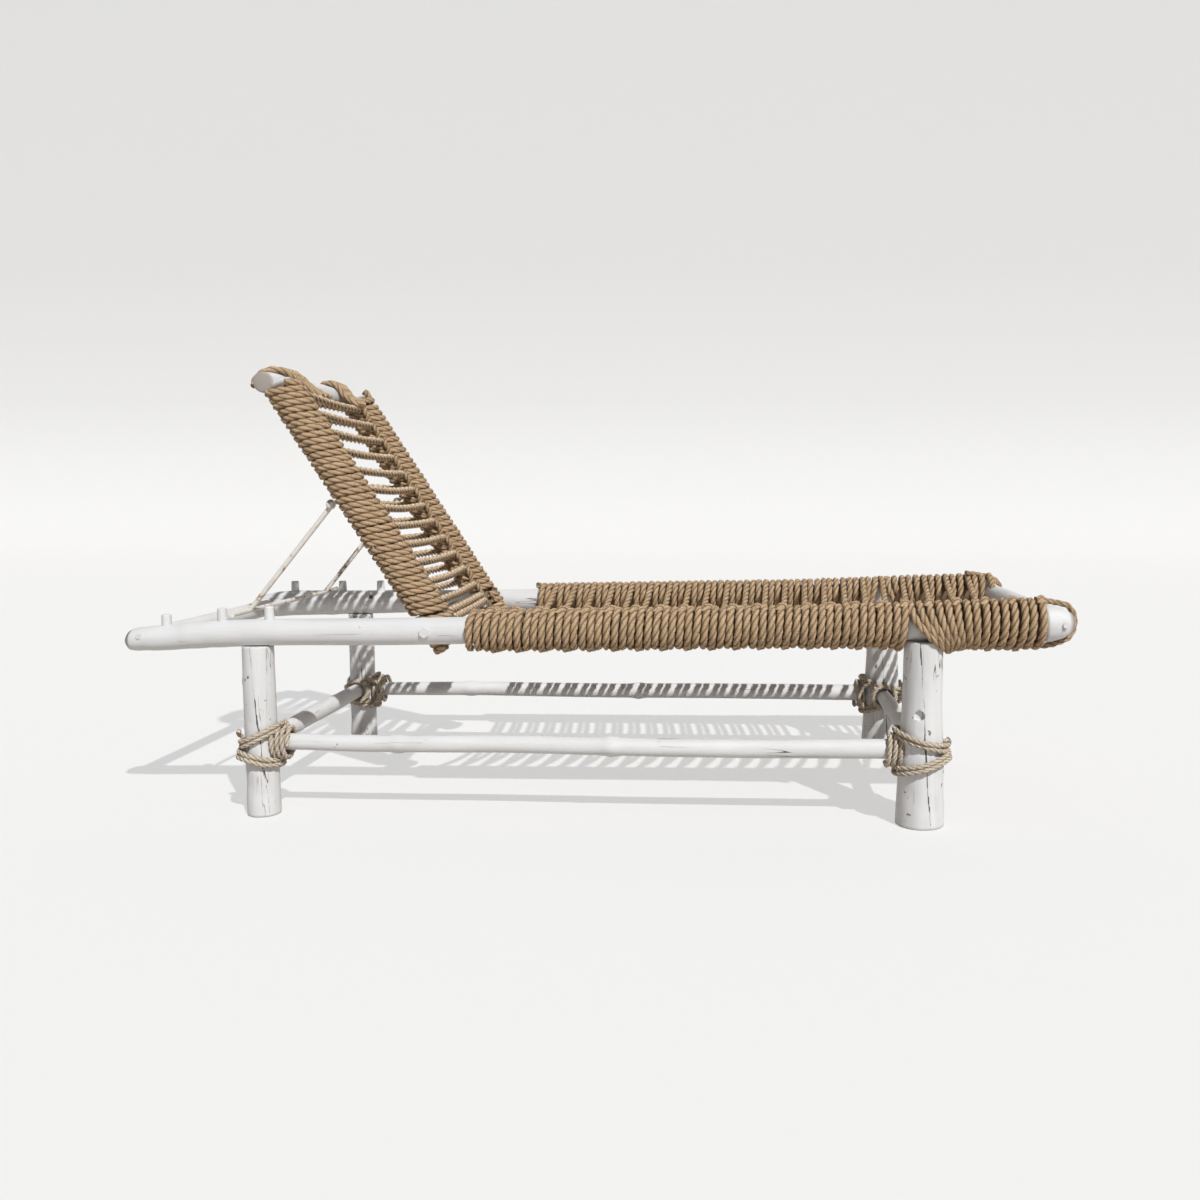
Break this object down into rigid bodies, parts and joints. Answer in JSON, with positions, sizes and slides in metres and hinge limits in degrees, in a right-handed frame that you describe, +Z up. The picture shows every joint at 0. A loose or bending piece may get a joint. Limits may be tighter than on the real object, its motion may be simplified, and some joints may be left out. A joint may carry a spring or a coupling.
{
  "type": "rope webbed day bed",
  "caption": "Low day bed of white painted poles, webbed with thick natural rope, with a hinged rope back held up by a steel prop against pegs.",
  "frame": {"origin": "on the floor, under the centre of the bounding box", "axes": "+X along the bed to the foot end, +Y to the left side of a person lying on it, +Z up"},
  "size_m": [2.0021, 0.7396, 0.9659],
  "materials": {
    "painted_wood": "white paint, worn and cracked",
    "webbing_rope": "natural three-strand rope",
    "lashing_rope": "pale natural rope",
    "painted_rod": "white paint with rust spots",
    "steel": "weathered steel"
  },
  "bodies": {
    "bed": {"side_rail_right": "painted_wood", "side_stretcher_right": "painted_wood", "peg_right_1": "painted_wood", "peg_right_2": "painted_wood", "peg_right_3": "painted_wood", "pivot_bolt_right": "steel", "pivot_spacer_right": "steel", "pivot_nut_right": "steel", "leg_pass_rope_right": "webbing_rope", "foot_loop_right": "webbing_rope", "side_rail_left": "painted_wood", "side_stretcher_left": "painted_wood", "peg_left_1": "painted_wood", "peg_left_2": "painted_wood", "peg_left_3": "painted_wood", "pivot_bolt_left": "steel", "pivot_spacer_left": "steel", "pivot_nut_left": "steel", "leg_pass_rope_left": "webbing_rope", "foot_loop_left": "webbing_rope", "head_crossbar": "painted_wood", "end_stretcher_head": "painted_wood", "leg_head_right": "painted_wood", "crossbar_screw_head_right": "steel", "lashing_head_right": "lashing_rope", "leg_head_left": "painted_wood", "crossbar_screw_head_left": "steel", "lashing_head_left": "lashing_rope", "foot_crossbar": "painted_wood", "end_stretcher_foot": "painted_wood", "leg_foot_right": "painted_wood", "crossbar_screw_foot_right": "steel", "lashing_foot_right": "lashing_rope", "leg_foot_left": "painted_wood", "crossbar_screw_foot_left": "steel", "lashing_foot_left": "lashing_rope", "seat_rope": "webbing_rope", "foot_rope": "webbing_rope"},
    "backrest": {"back_pole_right": "painted_wood", "prop_eye_right": "painted_rod", "back_tail_wrap_right": "webbing_rope", "top_band_right": "webbing_rope", "back_pole_left": "painted_wood", "prop_eye_left": "painted_rod", "back_tail_wrap_left": "webbing_rope", "top_band_left": "webbing_rope", "back_top_bar": "painted_wood", "back_bottom_bar": "painted_wood", "back_rope": "webbing_rope"},
    "prop": {"prop_rod_right": "painted_rod", "prop_rod_left": "painted_rod", "prop_crossbar": "painted_rod"}
  },
  "joints": [
    {"name": "backrest_recline", "type": "hinge", "parent": "bed", "child": "backrest", "pos_m": [-0.352, 0, 0.39928], "axis": [0, 1, 0], "range_deg": [-28, 10]},
    {"name": "prop_swing", "type": "hinge", "parent": "backrest", "child": "prop", "pos_m": [-0.58407, 0, 0.66305], "axis": [0, 1, 0], "range_deg": [-22, 61]}
  ],
  "couplings": [
    {"joint": "prop_swing", "follows": "backrest_recline", "ratio": -2.15}
  ]
}
